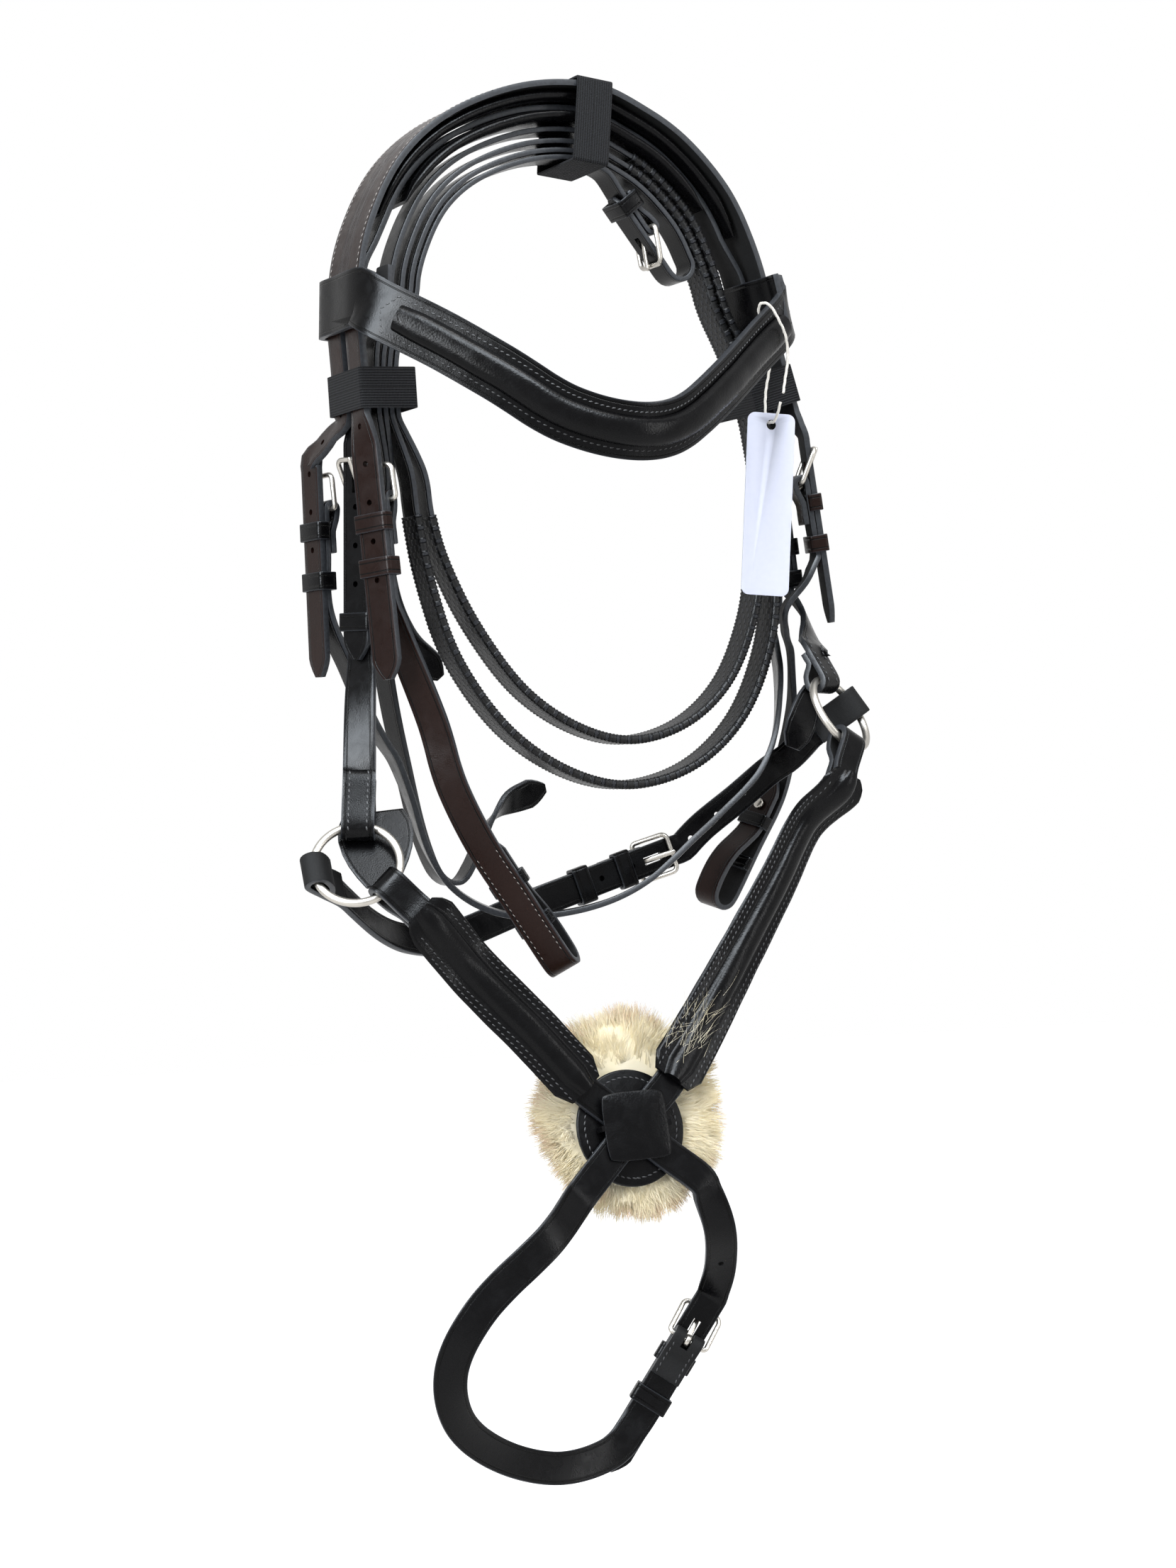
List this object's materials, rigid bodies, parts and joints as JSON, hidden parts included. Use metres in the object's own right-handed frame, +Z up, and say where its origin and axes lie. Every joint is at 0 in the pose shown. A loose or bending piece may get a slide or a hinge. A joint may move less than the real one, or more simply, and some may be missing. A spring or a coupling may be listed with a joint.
{
  "type": "figure eight noseband bridle",
  "caption": "Leather bridle with a crossed figure-eight noseband on a sheepskin-backed disc, rubber-grip reins, elastic bands and a blank swing tag, gathered for a peg.",
  "frame": {"origin": "underside of the crown band, where it rests on the peg, at the middle of the strap's width (X a few mm to the left of the band's middle)", "axes": "+Z up; +X to the wearer's-left side of the picture's right, along the wall; the browband and noseband face -Y; +Y runs into the wall"},
  "size_m": [0.3193, 0.1533, 0.7039],
  "materials": {
    "black_leather": "black bridle leather, satin, edges dyed",
    "brown_leather": "very dark brown bridle leather, satin",
    "padded_leather": "soft black leather over padding, stitched",
    "rubber_grip": "ribbed black rubber rein grip",
    "elastic": "plain black ribbed elastic",
    "nickel": "polished nickel plate",
    "sheepskin": "cream sheepskin with tan tips",
    "card": "blank white card",
    "string": "twisted white string"
  },
  "bodies": {
    "root": {"browband": "black_leather", "browband_padding": "padded_leather", "crown_band": "elastic", "left_band": "elastic", "right_band": "elastic", "disc_backing": "black_leather", "disc_cover": "black_leather", "sheepskin_pad": "sheepskin", "headpiece": "brown_leather", "headpiece_padding": "padded_leather", "noseband_headstrap": "black_leather", "noseband_headstrap_padding": "padded_leather", "left_hanger": "black_leather", "right_hanger": "black_leather", "left_ring_guard": "black_leather", "right_ring_guard": "black_leather", "left_nose_strap": "black_leather", "right_nose_strap": "black_leather", "left_nose_padding": "padded_leather", "right_nose_padding": "padded_leather", "left_jaw_strap": "black_leather", "right_jaw_strap": "black_leather", "left_cheekpiece": "brown_leather", "right_cheekpiece": "brown_leather", "throat_lash": "black_leather", "left_rein": "black_leather", "right_rein": "black_leather", "left_rein_grip": "rubber_grip", "right_rein_grip": "rubber_grip", "left_hook_stud": "nickel", "right_hook_stud": "nickel", "tag_string": "string", "right_cheek_buckle": "nickel", "right_throat_buckle": "nickel", "left_hanger_buckle": "nickel", "right_hanger_buckle": "nickel", "jaw_buckle": "nickel", "lower_nose_buckle": "nickel", "rein_buckle": "nickel"},
    "left_ring": {"left_ring": "nickel"},
    "right_ring": {"right_ring": "nickel"},
    "left_cheek_buckle": {"left_cheek_buckle": "nickel", "left_cheek_buckle_tongue": "nickel"},
    "right_cheek_tongue": {"right_cheek_buckle_tongue": "nickel"},
    "left_throat_buckle": {"left_throat_buckle": "nickel", "left_throat_buckle_tongue": "nickel"},
    "right_throat_tongue": {"right_throat_buckle_tongue": "nickel"},
    "left_hanger_tongue": {"left_hanger_buckle_tongue": "nickel"},
    "right_hanger_tongue": {"right_hanger_buckle_tongue": "nickel"},
    "jaw_tongue": {"jaw_buckle_tongue": "nickel"},
    "lower_nose_tongue": {"lower_nose_buckle_tongue": "nickel"},
    "rein_tongue": {"rein_buckle_tongue": "nickel"},
    "left_cheek_runner": {"left_cheek_runner": "black_leather"},
    "right_cheek_runner": {"right_cheek_runner": "black_leather"},
    "left_throat_runner": {"left_throat_runner": "black_leather"},
    "right_hanger_runner": {"right_hanger_runner": "black_leather"},
    "jaw_runner": {"jaw_runner": "black_leather"},
    "lower_nose_runner": {"lower_nose_runner": "black_leather"},
    "rein_runner": {"rein_runner": "black_leather"},
    "swing_tag": {"swing_tag": "card"}
  },
  "joints": [
    {"name": "left_ring_turn", "type": "hinge", "parent": "root", "child": "left_ring", "pos_m": [-0.12803, -0.025, -0.3536], "axis": [-0.4066, -0.7647, 0.5], "continuous": true},
    {"name": "right_ring_turn", "type": "hinge", "parent": "root", "child": "right_ring", "pos_m": [0.14125, -0.038, -0.278], "axis": [0.4077, -0.7478, 0.524], "continuous": true},
    {"name": "left_cheek_buckle_swing", "type": "hinge", "parent": "root", "child": "left_cheek_buckle", "pos_m": [-0.11141, -0.0138, -0.17679], "axis": [-0.4641, 0.88, -0.1016], "range_deg": [0, 2]},
    {"name": "right_cheek_tongue_lift", "type": "hinge", "parent": "root", "child": "right_cheek_tongue", "pos_m": [0.13221, -0.01163, -0.15505], "axis": [0.3637, 0.9292, 0.0654], "range_deg": [0, 5.5]},
    {"name": "left_throat_buckle_swing", "type": "hinge", "parent": "root", "child": "left_throat_buckle", "pos_m": [-0.12229, 0.02989, -0.17777], "axis": [-0.1383, 0.9901, -0.0219], "range_deg": [0, 2]},
    {"name": "right_throat_tongue_lift", "type": "hinge", "parent": "root", "child": "right_throat_tongue", "pos_m": [0.14, 0.03498, -0.18328], "axis": [0.3087, 0.9509, 0.0225], "range_deg": [0, 5.5]},
    {"name": "left_hanger_tongue_lift", "type": "hinge", "parent": "root", "child": "left_hanger_tongue", "pos_m": [-0.11036, 0.00521, -0.17193], "axis": [0.4384, -0.8987, -0.0082], "range_deg": [0, 5.5]},
    {"name": "right_hanger_tongue_lift", "type": "hinge", "parent": "root", "child": "right_hanger_tongue", "pos_m": [0.13137, 0.01066, -0.17693], "axis": [0.3175, 0.9467, 0.0545], "range_deg": [0, 5.5]},
    {"name": "jaw_tongue_lift", "type": "hinge", "parent": "root", "child": "jaw_tongue", "pos_m": [0.05969, 0.03433, -0.35741], "axis": [0.3101, -0.1251, -0.9425], "range_deg": [0, 5.5]},
    {"name": "lower_nose_tongue_lift", "type": "hinge", "parent": "root", "child": "lower_nose_tongue", "pos_m": [0.0393, -0.05377, -0.5944], "axis": [-0.7455, 0.4048, 0.5295], "range_deg": [0, 5.5]},
    {"name": "rein_tongue_lift", "type": "hinge", "parent": "root", "child": "rein_tongue", "pos_m": [0.04515, 0, -0.0256], "axis": [0, 1, 0], "range_deg": [0, 5.5]},
    {"name": "left_cheek_runner_slide", "type": "slide", "parent": "root", "child": "left_cheek_runner", "axis": [0.0769, -0.0743, -0.9943], "range_m": [-0.0055, 0.012]},
    {"name": "right_cheek_runner_slide", "type": "slide", "parent": "root", "child": "right_cheek_runner", "axis": [0.1771, 0, -0.9842], "range_m": [-0.0055, 0.0025]},
    {"name": "left_throat_runner_slide", "type": "slide", "parent": "root", "child": "left_throat_runner", "axis": [0.0393, -0.0167, -0.9991], "range_m": [-0.009, 0.009]},
    {"name": "right_hanger_runner_slide", "type": "slide", "parent": "root", "child": "right_hanger_runner", "axis": [0.1554, 0.0047, -0.9878], "range_m": [-0.001, 0.0022]},
    {"name": "jaw_runner_slide", "type": "slide", "parent": "root", "child": "jaw_runner", "axis": [-0.9447, 0.0712, -0.3202], "range_m": [-0.009, 0.02]},
    {"name": "lower_nose_runner_slide", "type": "slide", "parent": "root", "child": "lower_nose_runner", "axis": [-0.5155, 0.1533, -0.8431], "range_m": [-0.007, 0.004]},
    {"name": "rein_runner_slide", "type": "slide", "parent": "root", "child": "rein_runner", "axis": [-0.6482, 0, 0.7615], "range_m": [0, 0.0025]},
    {"name": "swing_tag_swing", "type": "hinge", "parent": "root", "child": "swing_tag", "pos_m": [0.0944, -0.045, -0.13], "axis": [-0.2419, -0.9702, 0.0109], "range_deg": [-10, 10]}
  ]
}
